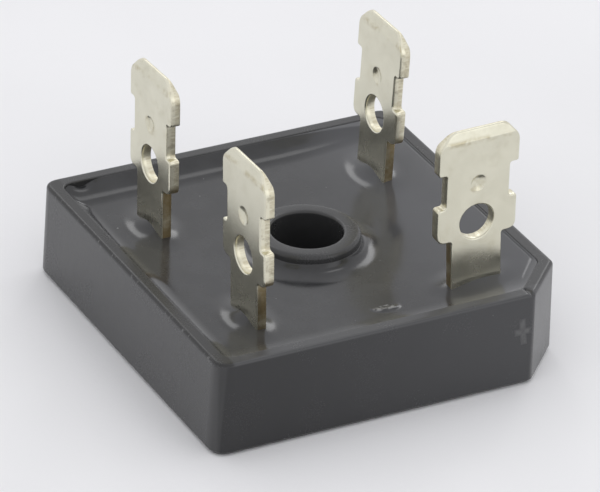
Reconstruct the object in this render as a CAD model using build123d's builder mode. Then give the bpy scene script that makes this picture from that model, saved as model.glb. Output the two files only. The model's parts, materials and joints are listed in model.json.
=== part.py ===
from build123d import *
import os

os.makedirs("parts", exist_ok=True)

# Sizes are in millimetres. The origin is the centre of the underside and +Z points up the screw hole.

# Moulded case
case_size = 28.6
case_height = 7.2
case_wall = 1.2
floor_thickness = 1.0
floor_ledge = 1.2
cut_corner = 3.65
case_corner_radius = 1.2
cavity_corner_radius = 0.8
rim_round = 0.5
rim_inner_chamfer = 0.15
foot_chamfer = 0.35
knit_groove_inset = 3.9
knit_groove_radius = 0.22
knit_groove_rise = 0.08

# Aluminium base plate with a flange that lies on the floor ledge
plate_flange = 0.6

# Tube round the screw hole
screw_hole_radius = 2.6
bush_wall = 1.3
bush_proud = 0.2
bush_flange_width = 0.8
bush_flange_thickness = 0.8
bush_edge_chamfer = 0.2

# Insulating sheet and copper lands
sheet_thickness = 0.4
sheet_inset = 0.3
land_thickness = 0.6
land_inset = 0.6
land_gap = 1.2
land_clearance = 0.5

# Diode dies and the strips that join them
die_thickness = 0.28
die_inset = 5.3
die_clearance = 0.3
solder_film = 0.08
clip_cover = 0.85
clip_thickness = 0.4
clip_arch = 0.5
clip_bend_radius = 0.3
clip_foot_share = 0.6

# Potting resin and the way it climbs the walls, the tube and the tabs
resin_drop = 1.2
resin_film = 0.08
wall_climb_height = 1.05
wall_climb_reach = 2.6
bush_climb_height = 0.9
bush_climb_reach = 1.4
tab_climb_height = 0.65
tab_climb_reach = 1.7
climb_shares = (0, 0.1, 0.3, 1)
pit_radius = 1.2
pit_rise = 0.35
pit_inset = 0.5

# Tab terminals, one stamping used four times; heights are above the resin
tab_thickness = 0.8
tab_head_width = 6.35
tab_neck_width = 5.0
tab_ear_width = 6.3
tab_stem_width = 4.0
tab_tip_width = 4.4
tab_ear_bottom = 3.95
tab_ear_top = 6.68
tab_head_bottom = 9.38
tab_shoulder = 11.45
tab_top = 12.6
tab_tip_bevel = 0.86
tab_tip_thickness = 0.36
tab_ear_radius = 0.7
tab_corner_radius = 0.3
tab_notch_radius = 0.22
wire_hole_radius = 1.35
wire_hole_height = 5.2
dimple_radius = 0.62
dimple_depth = 0.15
dimple_height = 8.3
foot_length = 2.2
foot_bend_radius = 0.5
foot_clearance = 0.2
pool_margin = 0.3
pool_height = 0.55
pool_taper = 20

# Distances from the case sides to the tab centres
tab_minus_from_side = 5.51
tab_minus_from_back = 7.62
tab_ac_front_from_side = 5.91
tab_ac_front_from_front = 6.99
tab_ac_rear_from_side = 4.99
tab_ac_rear_from_back = 7.21
tab_plus_from_side = 5.99
tab_plus_from_front = 5.20

# Leans of the tabs out of upright, in degrees about X and Y
tab_minus_lean = (-2.77, 0.28)
tab_ac_front_lean = (-1.29, -1.53)
tab_ac_rear_lean = (-0.94, 1.83)
tab_plus_lean = (0.59, -1.16)
quarter_turn = -90

# Two points nearer than this are the same corner
same_place = 0.001

# Levels that follow from the sizes above
case_half = case_size / 2
plate_top = floor_thickness + plate_flange
sheet_top = plate_top + sheet_thickness
land_top = sheet_top + land_thickness
die_bottom = land_top + solder_film
die_top = die_bottom + die_thickness
clip_bottom = die_top + solder_film
resin_level = case_height - resin_drop
bush_radius = screw_hole_radius + bush_wall
bush_flange_radius = bush_radius + bush_flange_width
bush_top = case_height + bush_proud
land_hole_radius = bush_flange_radius + land_clearance
foot_bottom = land_top + foot_clearance - resin_level


def plan(inset, radius):
    """Plan of the case drawn smaller by inset, with its cut corner at +X, -Y."""
    half = case_half - inset
    cut = cut_corner - inset * (2 - 2**0.5)
    with BuildSketch() as outline:
        Rectangle(2 * half, 2 * half)
        chamfer(outline.vertices().sort_by(Axis((0, 0, 0), (1, -1, 0)))[-1], cut)
        square_corners = [v for v in outline.vertices() if abs(v.X) + abs(v.Y) > 2 * half - same_place]
        fillet(square_corners, radius)
    return outline.sketch


# Case: outer block, cavity from above, window in the floor for the plate
with BuildPart() as case:
    with BuildSketch():
        add(plan(0, case_corner_radius))
    extrude(amount=case_height)
    fillet(case.faces().sort_by(Axis.Z)[-1].edges(), rim_round)
    chamfer(case.faces().sort_by(Axis.Z)[0].edges(), foot_chamfer)
    with BuildSketch(Plane.XY.offset(floor_thickness)):
        add(plan(case_wall, cavity_corner_radius))
    extrude(amount=case_height, mode=Mode.SUBTRACT)
    chamfer(case.faces().sort_by(Axis.Z)[-1].inner_wires()[0].edges(), rim_inner_chamfer)
    with BuildSketch():
        add(plan(case_wall + floor_ledge, cavity_corner_radius))
    extrude(amount=floor_thickness, mode=Mode.SUBTRACT)
    with Locations((case_half - knit_groove_inset, -case_half, case_height + knit_groove_rise)):
        Cylinder(knit_groove_radius, 2 * case_wall + rim_round, rotation=(90, 0, 0), mode=Mode.SUBTRACT)
case.part.label = "case"
export_step(case.part, "parts/case.step")

# Base plate: pad in the window, flush with the underside, under a flange on the ledge
with BuildPart() as base_plate:
    with BuildSketch():
        add(plan(case_wall + floor_ledge, cavity_corner_radius))
        Circle(bush_radius, mode=Mode.SUBTRACT)
    extrude(amount=floor_thickness)
    with BuildSketch(Plane.XY.offset(floor_thickness)):
        add(plan(case_wall, cavity_corner_radius))
        Circle(bush_radius, mode=Mode.SUBTRACT)
    extrude(amount=plate_flange)
base_plate.part.label = "base_plate"
export_step(base_plate.part, "parts/base_plate.step")

# Centre bush: tube through the plate with a collar that stands on it
with BuildPart() as centre_bush:
    with BuildSketch():
        Circle(bush_radius)
    extrude(amount=bush_top)
    with BuildSketch(Plane.XY.offset(plate_top)):
        Circle(bush_flange_radius)
    extrude(amount=bush_flange_thickness)
    chamfer(centre_bush.faces().sort_by(Axis.Z)[-1].edges(), bush_edge_chamfer)
    with BuildSketch():
        Circle(screw_hole_radius)
    extrude(amount=bush_top, mode=Mode.SUBTRACT)
    chamfer(centre_bush.faces().sort_by(Axis.Z)[-1].inner_wires()[0].edges(), bush_edge_chamfer)
centre_bush.part.label = "centre_bush"
export_step(centre_bush.part, "parts/centre_bush.step")

# Insulating sheet between the plate and the lands
with BuildPart() as insulator_sheet:
    with BuildSketch(Plane.XY.offset(plate_top)):
        add(plan(case_wall + sheet_inset, cavity_corner_radius))
        Circle(land_hole_radius, mode=Mode.SUBTRACT)
    extrude(amount=sheet_thickness)
insulator_sheet.part.label = "insulator_sheet"
export_step(insulator_sheet.part, "parts/insulator_sheet.step")

inside = [centre_bush.part, insulator_sheet.part]

# Lands: the plan cut into quarters round the bush, one quarter for each terminal
land_corners = {
    "land_plus": (Align.MIN, Align.MAX),
    "land_minus": (Align.MAX, Align.MIN),
    "land_ac_front": (Align.MAX, Align.MAX),
    "land_ac_rear": (Align.MIN, Align.MIN),
}
for land_name, corner in land_corners.items():
    land_x = land_gap / 2 if corner[0] == Align.MIN else -land_gap / 2
    land_y = land_gap / 2 if corner[1] == Align.MIN else -land_gap / 2
    with BuildPart() as land:
        with BuildSketch(Plane.XY.offset(sheet_top)):
            add(plan(case_wall + land_inset, cavity_corner_radius))
            with Locations((land_x, land_y)):
                Rectangle(case_size, case_size, align=corner, mode=Mode.INTERSECT)
            Circle(land_hole_radius, mode=Mode.SUBTRACT)
        extrude(amount=land_thickness)
    land.part.label = land_name
    export_step(land.part, "parts/" + land_name + ".step")
    inside.append(land.part)

# Dies fill the room that the solder pools leave beside the gap between two lands
tab_pool_edge = case_half - tab_minus_from_back - tab_stem_width / 2 - pool_margin
die_size = tab_pool_edge - land_gap / 2 - 2 * die_clearance
die_offset = land_gap / 2 + die_clearance + die_size / 2

# Clip: an arched strip, drawn with its pad over the origin and its foot towards +X
clip_pad = clip_cover * die_size
clip_foot_length = clip_foot_share * die_size
clip_foot_start = die_offset + land_gap / 2 + die_clearance
clip_foot_end = clip_foot_start + clip_foot_length
clip_foot_drop = land_top + solder_film - clip_bottom
with BuildPart() as clip_blank:
    with BuildSketch(Plane.XZ):
        with BuildLine():
            FilletPolyline(
                (-clip_pad / 2, clip_thickness / 2),
                (clip_pad / 2, clip_thickness / 2),
                (clip_pad / 2 + clip_arch, clip_thickness / 2 + clip_arch),
                (clip_foot_start - 2 * clip_arch, clip_thickness / 2 + clip_arch),
                (clip_foot_start, clip_thickness / 2 + clip_foot_drop),
                (clip_foot_end, clip_thickness / 2 + clip_foot_drop),
                radius=clip_bend_radius,
            )
        trace(line_width=clip_thickness)
    extrude(amount=clip_pad / 2, both=True)

# Four dies, each soldered to its land, with a clip from its top to the next land
die_reach = case_half - die_inset
die_spots = [
    Location((die_offset, -die_reach, 0), (0, 0, 180)),
    Location((die_reach, -die_offset, 0), (0, 0, 90)),
    Location((-die_reach, -die_offset, 0), (0, 0, 90)),
    Location((die_offset, die_reach, 0), (0, 0, 180)),
]
on_floor = (Align.CENTER, Align.CENTER, Align.MIN)
for number, spot in enumerate(die_spots, start=1):
    with BuildPart() as die_solder:
        with Locations(spot * Pos(0, 0, land_top)):
            Box(die_size, die_size, solder_film, align=on_floor)
    die_solder.part.label = f"die_solder_{number}"
    with BuildPart() as die:
        with Locations(spot * Pos(0, 0, die_bottom)):
            Box(die_size, die_size, die_thickness, align=on_floor)
    die.part.label = f"die_{number}"
    with BuildPart() as clip_solder:
        with Locations(spot * Pos(0, 0, die_top)):
            Box(clip_pad, clip_pad, solder_film, align=on_floor)
    clip_solder.part.label = f"clip_solder_{number}"
    with BuildPart() as clip:
        add(clip_blank.part.moved(spot * Pos(0, 0, clip_bottom)))
    clip.part.label = f"clip_{number}"
    with BuildPart() as clip_foot_solder:
        with Locations(spot * Pos((clip_foot_start + clip_foot_end) / 2, 0, land_top)):
            Box(clip_foot_length, clip_pad, solder_film, align=on_floor)
    clip_foot_solder.part.label = f"clip_foot_solder_{number}"
    for piece in (die_solder.part, die.part, clip_solder.part, clip.part, clip_foot_solder.part):
        export_step(piece, "parts/" + piece.label + ".step")
        inside.append(piece)

# Tab: the side view with its foot and bevelled tip, cut to the stamped outline
foot_top = foot_bottom + tab_thickness
bevel_start = tab_top - tab_tip_bevel
dimple_ball_radius = (dimple_radius**2 + dimple_depth**2) / (2 * dimple_depth)
with BuildPart() as tab_blank:
    with BuildSketch(Plane.YZ) as side_view:
        with BuildLine():
            Polyline(
                (-tab_thickness / 2, foot_bottom),
                (foot_length, foot_bottom),
                (foot_length, foot_top),
                (tab_thickness / 2, foot_top),
                (tab_thickness / 2, bevel_start),
                (tab_tip_thickness / 2, tab_top),
                (-tab_tip_thickness / 2, tab_top),
                (-tab_thickness / 2, bevel_start),
                close=True,
            )
        make_face()
        fillet(side_view.vertices().sort_by_distance((tab_thickness / 2, foot_top))[0], foot_bend_radius)
        bend_outside_radius = foot_bend_radius + tab_thickness
        fillet(side_view.vertices().sort_by_distance((-tab_thickness / 2, foot_bottom))[0], bend_outside_radius)
    extrude(amount=tab_head_width / 2, both=True)
    with BuildSketch(Plane.XZ) as outline_view:
        with BuildLine():
            half_outline = Polyline(
                (0, foot_bottom),
                (tab_stem_width / 2, foot_bottom),
                (tab_stem_width / 2, tab_ear_bottom),
                (tab_ear_width / 2, tab_ear_bottom),
                (tab_ear_width / 2, tab_ear_top),
                (tab_neck_width / 2, tab_ear_top),
                (tab_neck_width / 2, tab_head_bottom),
                (tab_head_width / 2, tab_head_bottom),
                (tab_head_width / 2, tab_shoulder),
                (tab_tip_width / 2, tab_top),
                (0, tab_top),
            )
            mirror(half_outline, about=Plane.YZ)
        make_face()
        on_sides = outline_view.vertices().group_by(Axis.Y)
        ear_low, ear_high, head_low, shoulders = on_sides[1], on_sides[2], on_sides[3], on_sides[4]
        fillet(ear_low.filter_by(lambda v: abs(v.X) > tab_stem_width / 2 + same_place), tab_ear_radius)
        fillet(ear_low.filter_by(lambda v: abs(v.X) < tab_stem_width / 2 + same_place), tab_notch_radius)
        fillet(ear_high + head_low, tab_notch_radius)
        fillet(shoulders, tab_corner_radius)
        with Locations((0, wire_hole_height)):
            Circle(wire_hole_radius, mode=Mode.SUBTRACT)
    extrude(amount=foot_length, both=True, mode=Mode.INTERSECT)
    with Locations((0, -tab_thickness / 2 + dimple_depth - dimple_ball_radius, dimple_height)):
        Sphere(dimple_ball_radius, mode=Mode.SUBTRACT)

# The four tabs: the plus tab faces the front, the others face the -X side
tab_spots = {
    "minus": Location(
        (tab_minus_from_side - case_half, case_half - tab_minus_from_back, resin_level),
        (*tab_minus_lean, quarter_turn),
    ),
    "ac_front": Location(
        (tab_ac_front_from_side - case_half, tab_ac_front_from_front - case_half, resin_level),
        (*tab_ac_front_lean, quarter_turn),
    ),
    "ac_rear": Location(
        (case_half - tab_ac_rear_from_side, case_half - tab_ac_rear_from_back, resin_level),
        (*tab_ac_rear_lean, quarter_turn),
    ),
    "plus": Location(
        (case_half - tab_plus_from_side, tab_plus_from_front - case_half, resin_level),
        (*tab_plus_lean, 0),
    ),
}
pool_length = foot_length + tab_thickness / 2 + 2 * pool_margin
pool_width = tab_stem_width + 2 * pool_margin
for name, spot in tab_spots.items():
    turn = spot.orientation.Z
    with BuildPart() as tab:
        add(tab_blank.part.moved(spot))
    tab.part.label = "tab_" + name
    with BuildPart() as tab_solder:
        with BuildSketch(Plane(Location((spot.position.X, spot.position.Y, land_top), (0, 0, turn)))):
            with Locations((0, pool_length / 2 - tab_thickness / 2 - pool_margin)):
                Rectangle(pool_width, pool_length)
        extrude(amount=pool_height, taper=pool_taper)
        add(tab.part, mode=Mode.SUBTRACT)
    tab_solder.part.label = "tab_solder_" + name
    for piece in (tab.part, tab_solder.part):
        export_step(piece, "parts/" + piece.label + ".step")
        inside.append(piece)

# Resin: the cavity filled to its level, drawn up in hollow slopes against walls, tube and tabs
with BuildPart() as potting_resin:
    with BuildSketch(Plane.XY.offset(plate_top)):
        add(plan(case_wall, cavity_corner_radius))
    extrude(amount=resin_level - plate_top + wall_climb_height)
    for share in climb_shares:
        reach = resin_film + (wall_climb_reach - resin_film) * (1 - share**0.5)
        with BuildSketch(Plane.XY.offset(resin_level + share * wall_climb_height)):
            add(plan(case_wall + reach, cavity_corner_radius))
    loft(ruled=True, mode=Mode.SUBTRACT)
    for share in climb_shares:
        reach = resin_film + (bush_climb_reach - resin_film) * (1 - share**0.5)
        with BuildSketch(Plane.XY.offset(resin_level + share * bush_climb_height)):
            Circle(bush_radius + reach)
    loft(ruled=True)
    for spot in tab_spots.values():
        for share in climb_shares:
            reach = resin_film + (tab_climb_reach - resin_film) * (1 - share**0.5)
            rise = Vector(0, 0, share * tab_climb_height)
            with BuildSketch(Plane(Location(spot.position + rise, (0, 0, spot.orientation.Z)))):
                Rectangle(tab_stem_width + 2 * reach, tab_thickness + 2 * reach)
        loft(ruled=True)
    pit_reach = case_half - case_wall - pit_inset
    with Locations((-pit_reach, pit_reach, resin_level + pit_rise)):
        Sphere(pit_radius, mode=Mode.SUBTRACT)
    with BuildSketch(Plane.XY.offset(plate_top)):
        Circle(bush_radius)
    extrude(amount=bush_top, mode=Mode.SUBTRACT)
    for piece in inside:
        add(piece, mode=Mode.SUBTRACT)
potting_resin.part.label = "potting_resin"
export_step(potting_resin.part, "parts/potting_resin.step")
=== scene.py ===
# %% [markdown]
# A bridge rectifier turns alternating current into direct current. This one is a square plastic box with
# a screw hole through its middle, a cut corner that marks the plus side, and four plated tabs that stand
# up out of a cast of glossy resin. The solids come from the packed model, so every place below is read
# from it, and what is added here is the finish: soft edges, the skin of the resin, and the materials.

# %% Load the solids
import json
import math
import bmesh
import bpy
import numpy as np
from mathutils import Matrix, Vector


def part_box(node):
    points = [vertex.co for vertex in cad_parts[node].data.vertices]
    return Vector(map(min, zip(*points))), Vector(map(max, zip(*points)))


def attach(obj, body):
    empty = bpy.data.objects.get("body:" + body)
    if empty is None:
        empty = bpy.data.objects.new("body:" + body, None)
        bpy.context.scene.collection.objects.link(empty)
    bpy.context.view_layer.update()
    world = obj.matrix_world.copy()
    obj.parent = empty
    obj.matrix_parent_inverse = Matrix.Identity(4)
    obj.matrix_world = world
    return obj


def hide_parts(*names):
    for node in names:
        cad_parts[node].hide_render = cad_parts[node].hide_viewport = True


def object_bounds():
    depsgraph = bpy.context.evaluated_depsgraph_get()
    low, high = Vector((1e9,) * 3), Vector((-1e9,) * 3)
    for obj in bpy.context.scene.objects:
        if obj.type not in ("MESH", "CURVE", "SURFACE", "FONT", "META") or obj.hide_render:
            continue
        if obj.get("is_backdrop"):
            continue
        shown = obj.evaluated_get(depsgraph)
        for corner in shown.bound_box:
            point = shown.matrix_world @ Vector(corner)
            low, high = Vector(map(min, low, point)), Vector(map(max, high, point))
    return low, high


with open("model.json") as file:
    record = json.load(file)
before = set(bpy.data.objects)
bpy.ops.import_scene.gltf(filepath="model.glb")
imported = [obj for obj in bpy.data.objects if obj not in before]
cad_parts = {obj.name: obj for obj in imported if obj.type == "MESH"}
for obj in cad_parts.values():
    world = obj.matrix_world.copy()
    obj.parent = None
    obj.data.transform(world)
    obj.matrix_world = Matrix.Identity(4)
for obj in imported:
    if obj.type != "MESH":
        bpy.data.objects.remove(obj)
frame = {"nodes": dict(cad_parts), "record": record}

cad_low, cad_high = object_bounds()
mm = 0.001
nodes = frame["nodes"]
case_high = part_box("case")[1]
half = case_high.x
rim_z = case_high.z
print("solids:", len(nodes), "case side in mm:", round(2 * half / mm, 2), "height:", round(rim_z / mm, 2))

# %% [markdown]
# The camera comes first, because every later choice is judged through it. It was found by matching the
# case's edges: a long lens, nearly 40 cm away, 30 degrees above the table and about as far round to the
# left of the front. A camera in Blender looks along its own -Z axis, so its matrix is built from three
# unit vectors: right, up and back. A small roll tips the picture, as a hand-held camera does.

# %% Camera
view_azimuth = math.radians(-29.017)
view_elevation = math.radians(29.885)
view_roll = math.radians(2.730)
view_distance = 399.54 * mm
view_target = np.array([13.040, 24.423, -9.905]) * mm
focal_px = 5170.0
image_width_px = 600
sensor_width = 36.0


def unit(v):
    """v divided by its length."""
    return np.asarray(v) / np.linalg.norm(v)


back = np.array([math.sin(view_azimuth) * math.cos(view_elevation),
                 -math.cos(view_azimuth) * math.cos(view_elevation), math.sin(view_elevation)])
level_right = unit(np.cross(-back, (0, 0, 1)))
level_up = np.cross(level_right, -back)
right = math.cos(view_roll) * level_right + math.sin(view_roll) * level_up
up = -math.sin(view_roll) * level_right + math.cos(view_roll) * level_up
lens = bpy.data.cameras.new("camera")
lens.sensor_width = sensor_width
lens.lens = focal_px * sensor_width / image_width_px
camera = bpy.data.objects.new("camera", lens)
camera_matrix = np.eye(4)
camera_matrix[:3, :3] = np.column_stack((right, up, back))
camera_matrix[:3, 3] = view_target + back * view_distance
camera.matrix_world = Matrix(camera_matrix)
bpy.context.scene.collection.objects.link(camera)
bpy.context.scene.camera = camera
print("lens in mm:", round(lens.lens, 1))

# %% [markdown]
# A finish is a set of numbers that change over a surface, such as how rough it is here and how dark
# there. Nodes could be placed one by one, but then the sum is hard to see. The two small classes below
# let a finish be written as an expression: a Field is one output socket, every operator on it adds its
# Math node, and a Finish is the material that those nodes go into.

# %% A field of a finish
class Field:
    """One output socket of a finish. An operator adds the Math node that works it out."""

    def __init__(self, finish, socket):
        self.finish = finish
        self.socket = socket

    def math(self, operation, *values):
        return self.finish.node("ShaderNodeMath", {"operation": operation}, dict(enumerate(values)))

    def __add__(self, other):
        return self.math("ADD", self, other)

    def __sub__(self, other):
        return self.math("SUBTRACT", self, other)

    def __rsub__(self, other):
        return self.math("SUBTRACT", other, self)

    def __mul__(self, other):
        return self.math("MULTIPLY", self, other)

    def __truediv__(self, other):
        return self.math("DIVIDE", self, other)

    def __abs__(self):
        return self.math("ABSOLUTE", self)

    __radd__ = __add__
    __rmul__ = __mul__

    def most(self, other):
        return self.math("MAXIMUM", self, other)

    def least(self, other):
        return self.math("MINIMUM", self, other)

    def rise(self, low, high):
        """0 below low, 1 above high and a smooth step between; low may be the larger one for a fall."""
        return self.finish.node("ShaderNodeMapRange", {"interpolation_type": "SMOOTHSTEP"},
                                {"Value": self, "From Min": low, "From Max": high})

    def other(self, output):
        """Another output of the same node."""
        return Field(self.finish, self.socket.node.outputs[output])


print("operations on a field:", sum(callable(value) for value in vars(Field).values()))

# %% [markdown]
# The material comes next. One method makes any node from its type, its settings and its sockets, so no
# node needs code of its own. The other methods are the few patterns that this part uses: a place in
# millimetres, soft noise, scattered dots, a mix of two colours and a relief.

# %% A finish and its patterns
class Finish:
    """A material with a Principled shader, built from expressions."""

    def __init__(self, name):
        self.material = bpy.data.materials.new(name)
        self.material.use_nodes = True
        self.tree = self.material.node_tree
        self.shader = self.tree.nodes["Principled BSDF"]

    def node(self, kind, settings=None, sockets=None, output=0):
        made = self.tree.nodes.new(kind)
        for setting, value in (settings or {}).items():
            setattr(made, setting, value)
        for socket, value in (sockets or {}).items():
            self.feed(made.inputs[socket], value)
        return Field(self, made.outputs[output])

    def feed(self, socket, value):
        if isinstance(value, Field):
            self.tree.links.new(value.socket, socket)
        else:
            socket.default_value = value

    def wear(self, **sockets):
        """Feeds the shader's sockets; an underscore in a name stands for a space."""
        for socket, value in sockets.items():
            self.feed(self.shader.inputs[socket.replace("_", " ")], value)

    def spot(self):
        """The place on the piece, in millimetres."""
        place = self.node("ShaderNodeTexCoord", output="Object")
        return self.node("ShaderNodeVectorMath", {"operation": "SCALE"}, {0: place, "Scale": 1 / mm})

    def stretch(self, spot, x, y, z):
        """The place multiplied by a number for each axis."""
        return self.node("ShaderNodeVectorMath", {"operation": "MULTIPLY"}, {0: spot, 1: (x, y, z)})

    def axes(self, spot):
        """The three numbers of a place."""
        x = self.node("ShaderNodeSeparateXYZ", sockets={0: spot})
        return x, x.other("Y"), x.other("Z")

    def cloud(self, spot, scale, detail=2.0, roughness=0.5):
        """Soft noise between 0 and 1, with about scale bumps in a millimetre."""
        return self.node("ShaderNodeTexNoise", sockets={"Vector": spot, "Scale": scale, "Detail": detail,
                                                        "Roughness": roughness})

    def specks(self, spot, scale, size, share):
        """1 inside scattered dots: cells of 1 / scale mm, of which a share holds a dot of that size in mm."""
        cell = self.node("ShaderNodeTexVoronoi", sockets={"Vector": spot, "Scale": scale})
        lot = self.axes(cell.other("Color"))[0]
        return cell.rise(size * scale, 0.5 * size * scale) * lot.rise(1 - share, 1 - share + 0.02)

    def mix(self, factor, first, second):
        """The first colour where factor is 0, the second where it is 1."""
        return self.node("ShaderNodeMix", {"data_type": "RGBA"}, {0: factor, 6: first, 7: second}, 2)

    def bump(self, height, depth):
        """A normal for a relief: height runs from 0 to 1 and depth is its size in mm."""
        return self.node("ShaderNodeBump", sockets={"Height": height, "Distance": depth * mm})


def grey(level, warm=0.0):
    """A colour of that level; warm above 0 takes blue away and below 0 adds it."""
    return (level * (1 + 0.3 * warm), level, level * (1 - warm), 1)


print("a finish has the sockets:", len(Finish("trial").shader.inputs))
bpy.data.materials.remove(bpy.data.materials["trial"])

# %% [markdown]
# The case is injection-moulded in black plastic. A black plastic is not one dark colour: much of its
# light is the white room mirrored in it, more strongly at a slant, so its own colour stays very dark.
# The rim's left outer edge is chipped pale in places. The left face is painted paler, a painted reflection of
# the bright table beside it, and the front rim is painted paler, a painted highlight. The left rim is darker,
# and the front face runs from darker at its left end to paler at its right end. The cut corner is streaked
# and painted paler, partly a painted highlight where it faces the light. Each of these is placed by its
# distance from a side of the case.
# A plus sign is printed on the front face. It is two crossed bars measured from its middle, so it stays
# sharp at any size.

# %% Case plastic
side_mm, top_mm = half / mm, rim_z / mm
cut_corner = 3.65
sign_x, sign_z = 9.78, 4.36
sign_arm, sign_rise, sign_stroke, sign_lean = 0.58, 0.94, 0.16, 0.12


def plus_sign(x, z):
    """How far a place is outside two crossed bars, below 0 inside: the lesser of their larger overshoots."""
    aside = abs(x - sign_x + sign_lean * (z - sign_z))
    above = abs(z - sign_z)
    level_bar = (aside - sign_arm).most(above - sign_stroke)
    upright_bar = (aside - sign_stroke).most(above - sign_rise)
    return level_bar.least(upright_bar)


def moulded_plastic():
    f = Finish("moulded_plastic")
    spot = f.spot()
    x, y, z = f.axes(spot)
    from_left, from_front, below_rim = x + side_mm, y + side_mm, top_mm - z
    from_cut = 2 * side_mm - cut_corner - (x - y)
    patches = f.cloud(spot, 0.30, 3)
    grain = f.cloud(spot, 9, 3, 0.6)
    worn_ink = f.cloud(spot, 3.2).rise(0.15, 0.60)
    ink = plus_sign(x, z).rise(0.15, -0.09) * from_front.rise(0.30, 0.22) * worn_ink
    left_edge = from_left.rise(0.42, 0.20) * below_rim.rise(0.50, 0.25)
    chips = left_edge * f.cloud(f.stretch(spot, 1, 1.6, 1), 2.4, 3, 0.65).rise(0.58, 0.70)
    dust = f.specks(spot, 0.8, 0.06, 0.25)
    body = f.mix(patches.rise(0.3, 0.7), grey(0.030, -0.03), grey(0.038, -0.03))
    # The front face is darker at its left end and paler at its right end.
    front_dark_to_pale = f.mix((x + 4 * patches).rise(-12, 14), grey(0.020, -0.05), grey(0.046, -0.05))
    body = f.mix(from_front.rise(0.30, 0.20), body, front_dark_to_pale)
    # Painted reflection: the left face is painted paler for the bright table that it mirrors.
    body = f.mix(from_left.rise(0.45, 0.25) * below_rim.rise(0.2, 0.4), body, grey(0.050, -0.02))
    on_rim = below_rim.rise(0.25, 0.10)
    # Painted highlight: the front rim is painted paler.
    body = f.mix(on_rim * from_front.rise(1.5, 1.2), body, grey(0.053, -0.05))
    body = f.mix(on_rim * from_left.rise(1.5, 1.2), body, grey(0.016))
    # The cut corner: streaks, and painted light, since the whole cut face is painted paler where it faces the
    # light.
    streaks = f.cloud(f.stretch(spot, 3, 3, 0.15), 1.0, 3, 0.6)
    body = f.mix(from_cut.rise(0.30, 0.10), body, f.mix(streaks.rise(0.3, 0.7), grey(0.060), grey(0.100)))
    pale = (chips * 0.45).most(dust * 0.5)
    f.wear(Base_Color=f.mix(ink * 0.75, f.mix(pale, body, grey(0.24)), grey(0.12)),
           Roughness=0.18 + 0.10 * patches + 0.06 * grain + 0.15 * ink, Normal=f.bump(grain, 0.004))
    return f.material


case_plastic = moulded_plastic()
print("made", case_plastic.name, "with", len(case_plastic.node_tree.nodes), "nodes")

# %% [markdown]
# The resin is poured in as a liquid, so its skin is as smooth as a dark mirror, with slow waves where it
# shrank as it set. Dust falls on it, and its colour is paler towards the right. Near the front a pale oval
# lies on the raised fleck: partly a scuff and partly a painted highlight of the fleck. Noise breaks it up.

# %% Cast resin
pale_oval_x, pale_oval_y, pale_oval_across, pale_oval_along = 1.1, -9.95, 0.9, 2.6
pale_right_start, pale_right_end = 2.5, 10


def cast_resin():
    f = Finish("cast_resin")
    spot = f.spot()
    slow = f.cloud(spot, 0.16, 1)
    smear = f.cloud(spot, 0.45, 4, 0.6)
    dust = f.specks(spot, 0.55, 0.09, 0.30).most(f.specks(f.stretch(spot, 1, 1, 0.2), 1.3, 0.04, 0.25))
    body = f.mix(smear.rise(0.35, 0.7), grey(0.028, -0.06), grey(0.036, -0.06))
    x, y = f.axes(spot)[:2]
    # A pale oval on the raised fleck: partly a scuff, partly a painted highlight of the fleck.
    across, along = (x - pale_oval_x) * pale_oval_across, (y - pale_oval_y) * pale_oval_along
    scuff_and_highlight = (across * across + along * along).rise(1.2, 0.5) * f.cloud(spot, 3, 3, 0.6).rise(0.42, 0.60)
    # The resin's colour is paler towards the right.
    body = f.mix(x.rise(pale_right_start, pale_right_end) * 0.85, body, grey(0.078, -0.08))
    pale = (dust * 0.55).most(scuff_and_highlight * 0.6)
    f.wear(Base_Color=f.mix(pale, body, grey(0.35)), Roughness=0.11 + 0.08 * smear + 0.3 * dust,
           Normal=f.bump(slow + 0.06 * f.cloud(spot, 1.4, 2), 0.05))
    return f.material


resin_gloss = cast_resin()
print("made", resin_gloss.name, "with", len(resin_gloss.node_tree.nodes), "nodes")

# %% [markdown]
# The tabs are stamped from brass sheet and tinned: a warm, pale, slightly cloudy metal. Where the punch
# cut through, the edge shows fine lines across the sheet and a torn half that is duller than the cut
# half, and the outer edges are scarred. The dimple and the crease of the tip are painted brown, a painted
# shade in these hollows, and a faint tarnish clouds the faces. Close to the resin the stems are painted
# dark brown in patches, a painted reflection of the dark resin that they mirror, and the low outer cut
# edges are browner too. The finish needs to know which way each tab stands, so every tab carries its own
# measure: along its width, through its sheet and up its height.

# %% Tinned sheet
dimple_height, tip_crease = 8.3, 11.74


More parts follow.
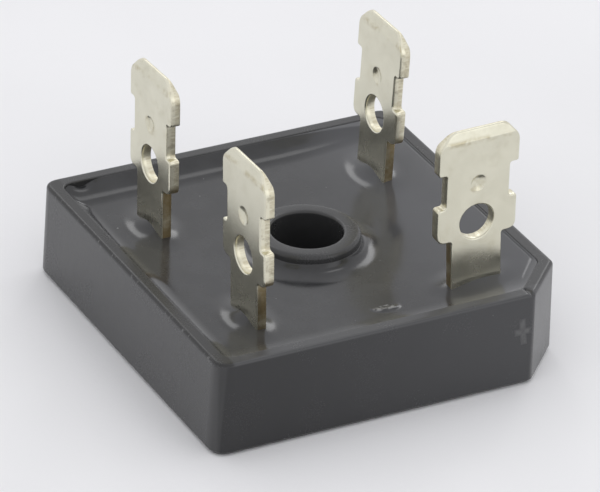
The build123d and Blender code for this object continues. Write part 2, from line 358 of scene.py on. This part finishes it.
def tinned_sheet():
    f = Finish("tinned_sheet")
    spot = f.spot()
    own = f.node("ShaderNodeAttribute", {"attribute_name": "own"}, output="Vector")
    cut = f.node("ShaderNodeAttribute", {"attribute_name": "cut"}, output="Fac").rise(0.4, 0.6)
    width, through, height = f.axes(own)
    patches = f.cloud(spot, 0.55, 4, 0.6)
    fine = f.cloud(spot, 5, 3, 0.6)
    lines = f.cloud(f.stretch(own, 7, 0.9, 7), 1.0, 3, 0.6)
    torn = through.rise(-0.10, 0.05)
    # Painted reflection: the stems are darkened brown in patches near the resin, for the dark resin that they
    # mirror.
    painted_resin_reflection = height.rise(4.6, 1.2) * patches.rise(0.30, 0.62)
    tin = f.mix(patches.rise(0.3, 0.7), (0.690, 0.670, 0.545, 1), (0.750, 0.730, 0.600, 1))
    edge = f.mix(torn * lines.rise(0.35, 0.65), (0.78, 0.75, 0.60, 1), (0.62, 0.57, 0.42, 1))
    outer = abs(width).rise(1.5, 1.8)
    scars = f.cloud(spot, 1.8, 4, 0.7).rise(0.45, 0.68)
    edge = f.mix(scars * outer * 0.55, edge, (0.36, 0.32, 0.22, 1))
    above_dimple = height - dimple_height
    at_dimple = (width * width + above_dimple * above_dimple).rise(0.75, 0.50)
    at_crease = abs(height - tip_crease).rise(0.35, 0.05)
    # Painted shade: the dimple and the crease of the tip are darkened brown.
    hollow_shade = at_crease.most(at_dimple * 0.8) * f.cloud(spot, 1.1, 3, 0.6).rise(0.45, 0.65)
    tarnish = f.cloud(spot, 0.9, 5, 0.7).rise(0.48, 0.72)
    tin = f.mix(tarnish * 0.28, tin, (0.50, 0.46, 0.32, 1))
    metal = f.mix(cut, f.mix(hollow_shade * 0.60, tin, (0.42, 0.36, 0.21, 1)), edge)
    stem_edge = cut * height.rise(4.9, 4.3) * outer * (0.20 + 0.7 * patches.rise(0.3, 0.65))
    metal = f.mix(stem_edge, metal, (0.34, 0.25, 0.11, 1))
    relief = (1 - cut) * (0.04 * fine) + cut * lines
    f.wear(Base_Color=f.mix(painted_resin_reflection * (0.10 + 0.70 * cut), metal, (0.26, 0.20, 0.11, 1)), Metallic=0.94,
           Roughness=0.20 + 0.06 * patches + cut * (0.06 + 0.10 * torn) + 0.06 * painted_resin_reflection,
           Normal=f.bump(relief, 0.015))
    return f.material


tin_plate = tinned_sheet()
print("made", tin_plate.name, "with", len(tin_plate.node_tree.nodes), "nodes")

# %% [markdown]
# The pieces below the resin are seen only when the part is taken apart or turned over: the aluminium
# plate that carries the heat away, the sheet that keeps the current off it, copper lands and strips,
# silicon dies and the solder between them. Each has a finish of its own all the same.

# %% Hidden metals and the sheet
def rolled_metal(name, dark, light, roughness, lines_x, lines_y):
    """A metal with rolling lines: noise stretched along one axis, in the colour and in the relief."""
    f = Finish(name)
    spot = f.spot()
    lines = f.cloud(f.stretch(spot, lines_x, lines_y, 1), 1.0, 3, 0.6)
    patches = f.cloud(spot, 0.4, 3)
    f.wear(Base_Color=f.mix((0.5 * lines + 0.5 * patches).rise(0.3, 0.7), dark, light), Metallic=1.0,
           Roughness=roughness + 0.15 * lines, Normal=f.bump(lines, 0.006))
    return f.material


def wetted_solder():
    f = Finish("wetted_solder")
    spot = f.spot()
    frost = f.cloud(spot, 3.5, 4, 0.65)
    f.wear(Base_Color=f.mix(frost, (0.50, 0.51, 0.53, 1), (0.74, 0.74, 0.75, 1)), Metallic=1.0,
           Roughness=0.25 + 0.25 * frost, Normal=f.bump(frost, 0.02))
    return f.material


def lapped_silicon():
    f = Finish("lapped_silicon")
    spot = f.spot()
    haze = f.cloud(spot, 2.0, 3)
    f.wear(Base_Color=f.mix(haze, (0.10, 0.11, 0.14, 1), (0.17, 0.18, 0.21, 1)), Roughness=0.18 + 0.14 * haze,
           Normal=f.bump(f.cloud(spot, 12, 2), 0.003))
    return f.material


def filled_sheet():
    f = Finish("filled_sheet")
    spot = f.spot()
    flecks = f.cloud(spot, 4.0, 4, 0.7)
    f.wear(Base_Color=f.mix(flecks.rise(0.3, 0.7), (0.70, 0.69, 0.62, 1), (0.82, 0.81, 0.76, 1)),
           Roughness=0.5 + 0.2 * flecks, Normal=f.bump(flecks, 0.008))
    return f.material


plate_metal = rolled_metal("plate_metal", (0.62, 0.63, 0.64, 1), (0.78, 0.79, 0.80, 1), 0.28, 0.15, 6.0)
land_copper = rolled_metal("land_copper", (0.72, 0.36, 0.23, 1), (0.86, 0.48, 0.33, 1), 0.25, 4.0, 0.2)
solder_metal = wetted_solder()
die_silicon = lapped_silicon()
sheet_filled = filled_sheet()
print("made five finishes for the hidden pieces")

# %% [markdown]
# Each solid now takes the finish of one of the record's material slots, which its name tells. The loop
# clears whatever came with the file, so no surface is left with a plain default.

# %% Dress the solids
finish_of_slot = {"case_plastic": case_plastic, "resin": resin_gloss, "plated_tab": tin_plate,
                  "base_metal": plate_metal, "insulator": sheet_filled, "copper": land_copper,
                  "silicon": die_silicon, "solder": solder_metal}


def slot_of(name):
    """The record's material slot of a solid, from the solid's name."""
    if "solder" in name:
        return "solder"
    for start, slot in (("case", "case_plastic"), ("centre", "case_plastic"), ("potting", "resin"),
                        ("tab", "plated_tab"), ("base", "base_metal"), ("insulator", "insulator"),
                        ("die", "silicon")):
        if name.startswith(start):
            return slot
    return "copper"


for name, solid in nodes.items():
    solid.data.materials.clear()
    solid.data.materials.append(finish_of_slot[slot_of(name)])
print("dressed", len(nodes), "solids in", len(finish_of_slot), "finishes")

# %% [markdown]
# Every tab is the same stamping. A press cuts a flat blank, rounds the side that the punch enters,
# presses a dimple and bends the foot over, and the mesh is worked out in that order. First the outline: a
# list of corners, each softened to a short curve that is pulled towards the corner and ends on both of
# its sides, the simplest Bezier curve. The outline is then walked in equal steps, and rings are set in
# for the rounded edge.

# %% Outline of the blank
def soft_profile(corners, round_by, steps=7):
    """Closed profile; a corner becomes (1-t)^2 before + 2t(1-t) corner + t^2 after, over round_by."""
    corners = np.asarray(corners, float)
    round_by = np.asarray(round_by, float)[:, None]
    towards = [np.roll(corners, shift, axis=0) - corners for shift in (1, -1)]
    before, after = (corners + round_by * side / np.linalg.norm(side, axis=1)[:, None] for side in towards)
    t = np.linspace(0, 1, steps)[:, None, None]
    return np.swapaxes((1 - t)**2 * before + 2 * t * (1 - t) * corners + t**2 * after, 0, 1).reshape(-1, 2)


def equal_steps(loop, count):
    """A closed loop walked in equal steps."""
    ends = np.vstack([loop, loop[:1]])
    walked = np.concatenate([[0], np.cumsum(np.linalg.norm(np.diff(ends, axis=0), axis=1))])
    at = np.linspace(0, walked[-1], count, endpoint=False)
    return np.column_stack([np.interp(at, walked, ends[:, k]) for k in (0, 1)])


def set_in(loop, inset):
    """The loop moved by inset to the left of its direction."""
    along = np.roll(loop, -1, axis=0) - np.roll(loop, 1, axis=0)
    left = np.column_stack([-along[:, 1], along[:, 0]])
    return loop + inset * left / np.linalg.norm(left, axis=1)[:, None]


sheet_half = 0.4
bend_radius = 0.9
bend_height = -1.9
foot_reach = 1.3
blank_low = bend_height - bend_radius * math.pi / 2 - foot_reach
tab_top, tip_half = 12.6, 0.12
right_corners = [(2.0, blank_low), (2.0, 3.95), (3.15, 3.95), (3.15, 6.68), (2.5, 6.68), (2.5, 9.38),
                 (3.175, 9.38), (3.175, 11.45), (2.2, tab_top)]
right_rounding = [0.2, 0.22, 0.7, 0.22, 0.22, 0.22, 0.22, 0.4, 0.55]
left_corners = [(-u, h) for u, h in reversed(right_corners)]
outline = equal_steps(soft_profile(right_corners + left_corners, right_rounding + right_rounding[::-1]), 520)
hole_height, hole_size = 5.2, 1.35
hole_turn = -np.linspace(0, 2 * np.pi, 64, endpoint=False)
wire_hole = np.column_stack([hole_size * np.cos(hole_turn), hole_height + hole_size * np.sin(hole_turn)])
print("outline of the blank in mm:", outline.min(axis=0).round(2), outline.max(axis=0).round(2))

# %% [markdown]
# The middle of the blank is filled with triangles between the innermost rings, over a scatter of points
# that is close where the sheet is not flat: round the dimple and along the crease of the tip.
# Triangulation is a job for a library call, Delaunay with fixed edges, and triangles outside the outline
# or in the hole are dropped.

# %% Filling the blank
from mathutils.geometry import delaunay_2d_cdt

edge_angles = np.linspace(0, np.pi / 2, 5)
edge_round = {"front": 0.11, "back": 0.05}
ring_insets = np.append(edge_round["front"] * (1 - np.cos(edge_angles)), edge_round["front"] + 0.03)
dimple_size, dimple_depth = 0.66, 0.20


def inside(points, loop):
    """True where a point is inside a loop, by counting the sides that a level ray crosses."""
    px, py = points[:, 0, None], points[:, 1, None]
    (ax, ay), (bx, by) = loop.T, np.roll(loop, -1, axis=0).T
    crosses = ((ay > py) != (by > py)) & (px < (bx - ax) * (py - ay) / (by - ay + 1e-12) + ax)
    return crosses.sum(axis=1) % 2 == 1


def far_from(points, others, distance):
    """True where a point is farther than distance from every one of the others."""
    return (np.linalg.norm(points[:, None] - others[None], axis=2) > distance).all(axis=1)


rim_ring, hole_ring = set_in(outline, ring_insets[-1]), set_in(wire_hole, ring_insets[-1])
circle_turn = np.linspace(0, 2 * np.pi, 24, endpoint=False)[None, :]
circle_size = np.array([0.02, 0.15, 0.30, 0.45, 0.56, 0.62, 0.67, 0.74])[:, None]
dimple_points = np.stack([circle_size * np.cos(circle_turn),
                          dimple_height + circle_size * np.sin(circle_turn)], axis=-1).reshape(-1, 2)
crease_points = np.stack(np.meshgrid(np.arange(-2.7, 2.8, 0.2), tip_crease + np.array([-0.05, 0, 0.05])),
                         axis=-1).reshape(-1, 2)
scatter = np.stack(np.meshgrid(np.arange(-3, 3.1, 0.25), np.arange(blank_low + 0.2, tab_top, 0.25)),
                   axis=-1).reshape(-1, 2)
scatter = scatter[far_from(scatter, dimple_points, 0.12) & far_from(scatter, crease_points, 0.12)]
middle = np.vstack([dimple_points, crease_points, scatter])
middle = middle[inside(middle, rim_ring) & far_from(middle, rim_ring, 0.09)
                & far_from(middle, hole_ring, 0.09)
                & (np.linalg.norm(middle - (0, hole_height), axis=1) > hole_size)]
fill_points = np.vstack([rim_ring, hole_ring, middle])
loops = [np.arange(len(rim_ring)), len(rim_ring) + np.arange(len(hole_ring))]
fixed = np.vstack([np.column_stack([loop, np.roll(loop, -1)]) for loop in loops])
filled = delaunay_2d_cdt(fill_points.tolist(), fixed.tolist(), [], 0, 1e-7)
fill_triangles = np.array(filled[2])
centres = fill_points[fill_triangles].mean(axis=1)
fill_triangles = fill_triangles[inside(centres, rim_ring) & ~inside(centres, hole_ring[::-1])]
print("blank filled with", len(fill_triangles), "triangles; points kept in order:",
      np.allclose(np.array(filled[0]), fill_points))

# %% [markdown]
# Both faces of the sheet use the same plan, and only their depth differs: the front carries the dimple
# and the larger rounding, the back a smaller one, and the tip thins to a lead-in. A skin between the two
# outer rings closes the edge, and another lines the hole. The faces of both are marked as cut, so that
# the finish can tell them apart.

# %% Two faces and the edge
def half_thickness(h):
    """Half the sheet, thinning evenly above the crease of the tip."""
    return sheet_half - (sheet_half - tip_half) * np.clip((h - tip_crease) / (tab_top - tip_crease), 0, 1)


def face_points(side, sign):
    """Plan and depth of one face: its rings, rounded by a quarter circle, then the middle with the dimple."""
    plans = [set_in(loop, inset) for loop in (outline, wire_hole) for inset in ring_insets[:-1]]
    drop = np.repeat(np.tile(edge_round[side] * (1 - np.sin(edge_angles)), 2),
                     [len(plan) for plan in plans])
    plan = np.vstack(plans + [fill_points])
    drop = np.append(drop, np.zeros(len(fill_points)))
    depth = half_thickness(plan[:, 1]) - drop
    if side == "front":
        off_centre = np.hypot(plan[:, 0], plan[:, 1] - dimple_height) / dimple_size
        depth = depth - dimple_depth * np.clip(1 - off_centre**2, 0, 1)
    return np.column_stack([plan[:, 0], sign * depth, plan[:, 1]])


def strip(low, high):
    """Quads between two closed rings of point numbers."""
    return np.column_stack([low, np.roll(low, -1), np.roll(high, -1), high])


def face_numbers():
    """Point numbers of one face: quads of its rings, triangles of its middle, and its two outer rings."""
    ring_count = len(ring_insets) - 1
    sizes = [len(outline)] * ring_count + [len(wire_hole)] * ring_count
    starts = np.concatenate([[0], np.cumsum(sizes)])
    rings = [start + np.arange(size) for start, size in zip(starts, sizes)]
    inner = [starts[-1] + loop for loop in loops]
    quads = [strip(a, b) for k, last in ((0, inner[0]), (ring_count, inner[1]))
             for a, b in zip(rings[k:k + ring_count], rings[k + 1:k + ring_count] + [last])]
    return np.vstack(quads), starts[-1] + fill_triangles, rings[0], rings[ring_count]


blank = np.vstack([face_points("front", -1), face_points("back", 1)])
quads, triangles, edge_ring, hole_edge_ring = face_numbers()
face_size = len(blank) // 2
skin = np.vstack([strip(ring, ring + face_size) for ring in (edge_ring, hole_edge_ring)])
tab_faces = np.vstack([quads, quads[:, ::-1] + face_size, skin[:, ::-1]]).tolist()
tab_faces += np.vstack([triangles, triangles[:, ::-1] + face_size]).tolist()
is_cut = np.zeros(len(tab_faces))
is_cut[2 * len(quads):2 * len(quads) + len(skin)] = 1
print("flat blank:", len(blank), "points,", len(tab_faces), "faces")

# %% [markdown]
# A press bends the foot over. Below the bend each point keeps its distance from the middle of the sheet,
# while the middle turns along a quarter circle and runs out level. A Simple Deform modifier could do it
# too, but the formula keeps the foot's length exact.

# %% Bending the foot
def bend(blank):
    """Width, depth and height of the bent sheet: R - (R - n) cos a deep and (R - n) sin a below the bend."""
    u, n, h = blank.T
    angle = np.clip((bend_height - h) / bend_radius, 0, np.pi / 2)
    run_out = np.maximum(bend_height - bend_radius * np.pi / 2 - h, 0)
    t = bend_radius - (bend_radius - n) * np.cos(angle) + run_out
    height = bend_height - (bend_radius - n) * np.sin(angle) + np.maximum(h - bend_height, 0)
    return np.column_stack([u, t, height])


own = bend(blank)
print("bent tab in mm:", own.min(axis=0).round(2), own.max(axis=0).round(2))

# %% [markdown]
# The record holds the place and the lean of every tab, so each one is the same sheet set on its own three
# directions. The plus tab's stem is also bowed a little above the resin, which changes what it mirrors.

# %% Placing the tabs
tab_stand = tab_top * mm
mounts = {mount["name"]: mount for mount in frame["record"]["mounts"]}
tab_names = ["tab_minus", "tab_ac_front", "tab_ac_rear", "tab_plus"]
bow_low, bow_top = 3.5, 6.0
stem_bow = {"tab_minus": 0.0, "tab_ac_front": 0.0, "tab_ac_rear": 0.0, "tab_plus": 0.088}


def tab_axes(name):
    """Foot on the resin's level, and the directions along the width, through the sheet and up the tab."""
    rise = unit(mounts[name + "_push_on"]["axis"])
    through = unit(mounts[name + "_wire_hole"]["axis"])
    through = through * np.sign(through[0] + through[1])
    foot = np.array(mounts[name + "_push_on"]["pos_m"]) - rise * tab_stand
    return foot, np.cross(through, rise), through, rise


def lean_run(h):
    """How far a stem that leans 1 in 1 from bow_low to the resin is off a straight one; 0 above bow_top."""
    ease = bow_top - bow_low
    return np.clip(bow_low - h, 0, bow_low) + ease / 2 * np.clip((bow_top - h) / ease, 0, 1)**2


def dress(piece, body_finish, slot, *solids):
    """Finish, body and the solids that the piece stands for; slot is not used."""
    piece.data.materials.append(body_finish)
    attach(piece, "root")
    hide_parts(*solids)


for name in tab_names:
    foot, across, through, rise = tab_axes(name)
    bowed = own.copy()
    bowed[:, 1] -= stem_bow[name] * lean_run(own[:, 2])
    mesh = bpy.data.meshes.new(name + "_plated")
    mesh.from_pydata((foot + bowed @ np.vstack((across, through, rise)) * mm).tolist(), [], tab_faces)
    mesh.attributes.new("own", "FLOAT_VECTOR", "POINT").data.foreach_set("vector", own.ravel())
    mesh.attributes.new("cut", "FLOAT", "FACE").data.foreach_set("value", is_cut)
    shape = bmesh.new()
    shape.from_mesh(mesh)
    bmesh.ops.recalc_face_normals(shape, faces=shape.faces)
    print(name, "faces:", len(shape.faces), "open edges:", sum(not edge.is_manifold for edge in shape.edges),
          "volume:", round(shape.calc_volume() / mm**3, 1))
    shape.to_mesh(mesh)
    shape.free()
    mesh.shade_smooth()
    tab = bpy.data.objects.new(name + "_plated", mesh)
    bpy.context.scene.collection.objects.link(tab)
    dress(tab, tin_plate, "plated_tab", name)

# %% [markdown]
# Every other new piece is a grid of points. The grid has two directions, and both close on themselves,
# like the skin of a ring. One helper turns such an array into a mesh. If the volume that the faces
# enclose comes out negative, the faces point inwards, and their order is reversed.

# %% A grid of points becomes a mesh
def surface(label, points):
    """A closed skin from points[row, column, xyz]; rows and columns both close on themselves."""
    rows, columns = points.shape[:2]
    row = np.arange(rows)[:, None]
    column = np.arange(columns)[None, :]
    next_row, next_column = (row + 1) % rows, (column + 1) % columns
    quads = np.stack([row * columns + column, row * columns + next_column,
                      next_row * columns + next_column, next_row * columns + column], axis=-1).reshape(-1, 4)
    flat = points.reshape(-1, 3)
    a, b, c, d = (flat[quads[:, k]] for k in range(4))
    volume = (np.einsum("ij,ij->i", a, np.cross(b, c)) + np.einsum("ij,ij->i", a, np.cross(c, d))).sum() / 6
    if volume < 0:
        quads = quads[:, ::-1]
    mesh = bpy.data.meshes.new(label)
    mesh.vertices.add(len(flat))
    mesh.vertices.foreach_set("co", flat.ravel())
    mesh.loops.add(quads.size)
    mesh.loops.foreach_set("vertex_index", quads.ravel())
    mesh.polygons.add(len(quads))
    mesh.polygons.foreach_set("loop_start", np.arange(0, quads.size, 4))
    mesh.update(calc_edges=True)
    mesh.shade_smooth()
    piece = bpy.data.objects.new(label, mesh)
    bpy.context.scene.collection.objects.link(piece)
    print(label, "faces:", len(quads), "volume in cubic mm:", round(abs(volume) / mm**3, 1))
    return piece


# %% [markdown]
# The case is the same section all the way round: a wall that tapers a little to a softly rounded top, so
# that it leaves its mould, with a bevelled foot and a ledge inside for the plate. So it is a profile
# carried along a path. The path is the plan of the case, and each point of the section sits on a plan
# drawn smaller by that point's inset, which keeps every wall parallel at the corners. A short nick
# crosses the front rim beside the cut corner.

# %% Case
case_wall, floor_ledge, floor_thickness, foot_bevel = 1.2, 1.2, 1.0, 0.30
corner_radius, cavity_corner_radius = 1.2, 0.8
mould_taper = 0.18
nick_x, nick_depth, nick_width, nick_fade = side_mm - 3.9, 0.14, 0.16, 0.7


def soft_loop(corners, round_by, steps, shares):
    """A softened profile with points on its straight sides too, at those shares of each side."""
    curves = soft_profile(corners, round_by, steps).reshape(len(corners), steps, 2)
    side_start, side_end = curves[:, -1:], np.roll(curves[:, :1], -1, axis=0)
    sides = side_start + (side_end - side_start) * np.asarray(shares)[None, :, None]
    return np.concatenate([curves, sides], axis=1).reshape(-1, 2)


def plan_loop(inset):
    """The case's plan drawn smaller by inset: a square with one corner cut, its corners softened."""
    side = side_mm - inset
    cut = cut_corner - inset * (2 - math.sqrt(2))
    corners = [(side, cut - side), (side, side), (-side, side), (-side, -side), (side - cut, -side)]
    square = 1.15 * max(corner_radius - inset, cavity_corner_radius)
    shares = 0.5 - 0.5 * np.cos(np.pi * np.linspace(0, 1, 62)[1:-1])
    return soft_loop(corners, [0.25, square, square, square, 0.25], 9, shares)


section = soft_loop([(foot_bevel, 0), (0, foot_bevel), (mould_taper, top_mm), (case_wall, top_mm),
                     (case_wall, floor_thickness), (case_wall + floor_ledge, floor_thickness),
                     (case_wall + floor_ledge, 0)],
                    [0.08, 0.08, 0.32, 0.14, 0.08, 0.05, 0.05], 9, (0.03, 0.5, 0.97))
walls = np.stack([np.insert(plan_loop(inset), 2, z, axis=1) for inset, z in section], axis=1)
nick = np.exp(-((walls[..., 0] - nick_x) / nick_width)**2) * (walls[..., 1] < case_wall - side_mm)
walls[..., 2] -= nick_depth * nick * np.clip((walls[..., 2] - top_mm + nick_fade) / nick_fade, 0, 1)
case_piece = surface("case_moulded", walls * mm)
dress(case_piece, case_plastic, "case_plastic", "case")

# %% [markdown]
# Liquid resin climbs whatever it wets before it sets, so its skin is level in the open and sweeps up in a
# hollow curve at the walls, at the tube and at each tab. Towards the right wall it swells gently. The
# skin is a height over the plan. The plan is laid out in rings round the screw hole, from the tube to the
# wall, and the ring profile then goes down the wall, under and back up the tube, so the skin is closed.
# The heights fall off with the distance from each wetted piece.

# %% Climbs of the resin
resin_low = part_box("potting_resin")[0]
resin_level = 6.08 * mm
tube_radius = 3.9 * mm
into_wall, into_tube, below_top = 0.02 * mm, 0.03 * mm, 0.06 * mm
cavity_half = half - case_wall * mm + into_wall
cut_distance = (2 * half - cut_corner * mm) / math.sqrt(2) - (half - cavity_half)
back_climb, left_climb, front_climb, right_climb, cut_climb = np.array([1.06, 0.70, 0.50, 0.12, 0.25]) * mm
right_swell, right_swell_reach = 0.95 * mm, 9.5 * mm
left_reach, back_reach, front_reach, right_reach, cut_reach = np.array([1.6, 2.1, 2.4, 0.12, 0.8]) * mm
tube_climb, tube_reach, tube_lip, tube_lip_fade = 0.345 * mm, 1.6 * mm, 0.40 * mm, 0.10 * mm
tab_climb, mound_long, mound_wide = 0.75 * mm, 3.9 * mm, 2.3 * mm
pit_x, pit_y, pit_long, pit_wide, pit_depth = -11.5 * mm, 13.2 * mm, 0.8 * mm, 0.40 * mm, 0.4 * mm
fleck_x, fleck_y, fleck_radius = 1.25 * mm, -8.3 * mm, 1.945 * mm
fleck_width, fleck_rise, fleck_middle, fleck_reach = 0.16 * mm, 0.12 * mm, 1.10 * mm, 1.15 * mm
corner_sharpness = 120
print("resin stands below the rim by, in mm:", round((rim_z - resin_level) / mm, 2))

# %% [markdown]
# The height is one sum over the plan. Near a corner two walls pull at once, and a plain sum would stand
# too high there, so the walls are added by their fourth powers, which keeps close to the larger one and
# stays smooth.

# %% Height of the resin
def wall_distance(turn):
    """Radius of the cavity's outline at an angle: a high power mean of its sides, which rounds corners."""
    c, s = np.cos(turn), np.sin(turn)
    reach = [abs(c) / cavity_half, abs(s) / cavity_half, np.maximum(c - s, 0) / math.sqrt(2) / cut_distance]
    return sum(side**corner_sharpness for side in reach) ** (-1 / corner_sharpness)


def slope(distance, reach, power=2):
    """A climb of height 1 that falls to nothing at reach: a parabola, or another power of what is left."""
    return np.clip(1 - np.maximum(distance, 0) / reach, 0, 1)**power


def resin_height(x, y):
    """Level, plus a fourth-power sum of the climbs at the five walls, the swell to the right, a climb and a
    lip at the tube and an oval mound at each tab, less the pit, plus a fleck along an arc."""
    walls = [left_climb * slope(cavity_half + x, left_reach),
             back_climb * slope(cavity_half - y, back_reach),
             front_climb * slope(cavity_half + y, front_reach),
             right_climb * slope(cavity_half - x, right_reach, 1.25),
             cut_climb * slope(cut_distance - (x - y) / math.sqrt(2), cut_reach)]
    z = resin_level + sum((wall / mm)**4 for wall in walls) ** 0.25 * mm
    z += right_swell * slope(cavity_half - x, right_swell_reach)
    from_tube = np.hypot(x, y) - tube_radius
    z += tube_climb * slope(from_tube, tube_reach)
    z += tube_lip * np.exp(-np.maximum(from_tube, 0) / tube_lip_fade)
    for name in tab_names:
        foot, across, through, rise = tab_axes(name)
        u = (x - foot[0]) * across[0] + (y - foot[1]) * across[1]
        v = (x - foot[0]) * through[0] + (y - foot[1]) * through[1]
        z += tab_climb * slope(np.hypot(u / mound_long, v / mound_wide), 1)
    z -= pit_depth * np.exp(-((x - pit_x) / pit_long)**2 - ((y - pit_y) / pit_wide)**2)
    off_arc = np.hypot(x - fleck_x, y - fleck_y) - fleck_radius
    along_arc = np.clip(1 - ((x - fleck_middle) / fleck_reach)**2, 0, 1) * (y < fleck_y)
    z += fleck_rise * along_arc * np.exp(-(off_arc / fleck_width)**2)
    return np.minimum(z, rim_z - below_top)


print("resin at the tube in mm:", round(float(resin_height(tube_radius, 0.0)) / mm, 2))

# %% [markdown]
# The rings are set closer together at the tube and at the wall, where the skin curves most. The last
# columns of the grid go down the wall and back up the tube.

# %% Skin of the resin
turn = np.linspace(0, 2 * np.pi, 720, endpoint=False)[:, None]
share = np.linspace(0, 1, 112)[None, :]
share = share - 0.35 * np.sin(2 * np.pi * share) / (2 * np.pi)
inner = tube_radius - into_tube
outer = wall_distance(turn)
radius = inner + (outer - inner) * share
x, y = radius * np.cos(turn), radius * np.sin(turn)
top = np.stack([x, y, resin_height(x, y)], axis=-1)
bottom = np.stack([x[:, [-1, 0]], y[:, [-1, 0]], np.full((len(turn), 2), resin_low.z)], axis=-1)
resin_skin = surface("resin_skin", np.concatenate([top, bottom], axis=1))
dress(resin_skin, resin_gloss, "resin", "potting_resin")

# %% [markdown]
# The tube round the screw hole is made as on a lathe: a profile carried round an axis, its corners
# softened by the same short curves as those of the tabs.

# %% Tube round the screw hole
def turned(profile, count):
    """A profile of radius and height carried round the Z axis."""
    angle = np.linspace(0, 2 * np.pi, count, endpoint=False)[:, None]
    r, z = profile[None, :, 0], profile[None, :, 1]
    return np.stack([r * np.cos(angle), r * np.sin(angle), z + 0 * angle], axis=-1)


tube_low, tube_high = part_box("centre_bush")
hole_radius = mounts["screw_hole"]["dims"]["r_mm"] * mm
collar_radius = tube_high.x
collar_low, collar_high = 1.6 * mm, 2.4 * mm
tube_corners = [(hole_radius, tube_low.z), (tube_radius, tube_low.z), (tube_radius, collar_low),
                (collar_radius, collar_low), (collar_radius, collar_high), (tube_radius, collar_high),
                (tube_radius, tube_high.z), (hole_radius, tube_high.z)]
tube_rounding = np.array([0.05, 0.05, 0.05, 0.05, 0.05, 0.05, 0.45, 0.25]) * mm
tube = surface("tube_turned", turned(soft_profile(tube_corners, tube_rounding), 128))
dress(tube, case_plastic, "case_plastic", "centre_bush")

# %% [markdown]
# The part stands on a white table in a bright, even room. The table is a wide sheet that is not quite
# white and not quite even. It is staging, not part of the object, and it keeps the shadow.

# %% Table
def table_top():
    f = Finish("table_top")
    spot = f.spot()
    cloud = f.cloud(spot, 0.02, 3)
    f.wear(Base_Color=f.mix(cloud.rise(0.3, 0.7), (0.82, 0.82, 0.83, 1), (0.86, 0.86, 0.87, 1)),
           Roughness=0.75, Normal=f.bump(f.cloud(spot, 2, 3), 0.01))
    return f.material


table_half = 1.5
table_z = -0.02 * mm
table_mesh = bpy.data.meshes.new("table")
table_corners = [(-table_half, -table_half, table_z), (table_half, -table_half, table_z),
                 (table_half, table_half, table_z), (-table_half, table_half, table_z)]
table_mesh.from_pydata(table_corners, [], [(0, 1, 2, 3)])
table_mesh.materials.append(table_top())
table = bpy.data.objects.new("table", table_mesh)
bpy.context.scene.collection.objects.link(table)
table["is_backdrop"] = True
print("table side in m:", 2 * table_half)

# %% [markdown]
# A plain white world gives the mirror-like surfaces something to mirror. Three small lamps, one overhead
# and two behind, draw the bright crescents on the resin where it curves, and a larger, weak one stands in
# front.

# %% Light
room = bpy.data.worlds.new("white_room")
room.use_nodes = True
room.node_tree.nodes["Background"].inputs["Color"].default_value = (0.98, 0.98, 1.0, 1)
room.node_tree.nodes["Background"].inputs["Strength"].default_value = 0.96
bpy.context.scene.world = room


def lamp(label, direction, distance, wide, tall, glow):
    """A rectangular lamp that faces the middle of the part; glow is its brightness, with white paper at 1."""
    light = bpy.data.lights.new(label, "AREA")
    light.shape = "RECTANGLE"
    light.size, light.size_y = wide, tall
    light.energy = glow * math.pi * wide * tall
    back_axis = unit(direction)
    side = unit(np.cross((0, 0, 1), back_axis)) if abs(back_axis[2]) < 0.99 else np.array([1.0, 0, 0])
    matrix = np.eye(4)
    matrix[:3, :3] = np.column_stack((side, np.cross(back_axis, side), back_axis))
    matrix[:3, 3] = back_axis * distance
    holder = bpy.data.objects.new(label, light)
    holder.matrix_world = Matrix(matrix)
    holder.visible_camera = False
    bpy.context.scene.collection.objects.link(holder)


lamp("lamp_overhead", (0.42, 0.138, 0.897), 0.7, 0.14, 0.14, 1.6)
lamp("lamp_behind_left", (0.15, 0.758, 0.633), 0.8, 0.11, 0.26, 2.2)
lamp("lamp_behind_right", (0.585, 0.59, 0.555), 0.8, 0.12, 0.26, 2.6)
lamp("lamp_front", (0.42, -0.83, 0.36), 0.9, 0.35, 0.60, 0.45)
bpy.context.scene.view_settings.view_transform = "Standard"

# %% [markdown]
# Rounding an edge or climbing a wall must never make the part bigger than its solids, because other parts
# are fitted against it. The last step compares the box round everything with the box that was there at
# the start.

# %% Size before and after
new_low, new_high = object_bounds()
grown = [new - old for new, old in zip(new_high, cad_high)]
grown += [old - new for new, old in zip(new_low, cad_low)]
print("box grew by at most, in mm:", round(max(grown) / mm, 4))
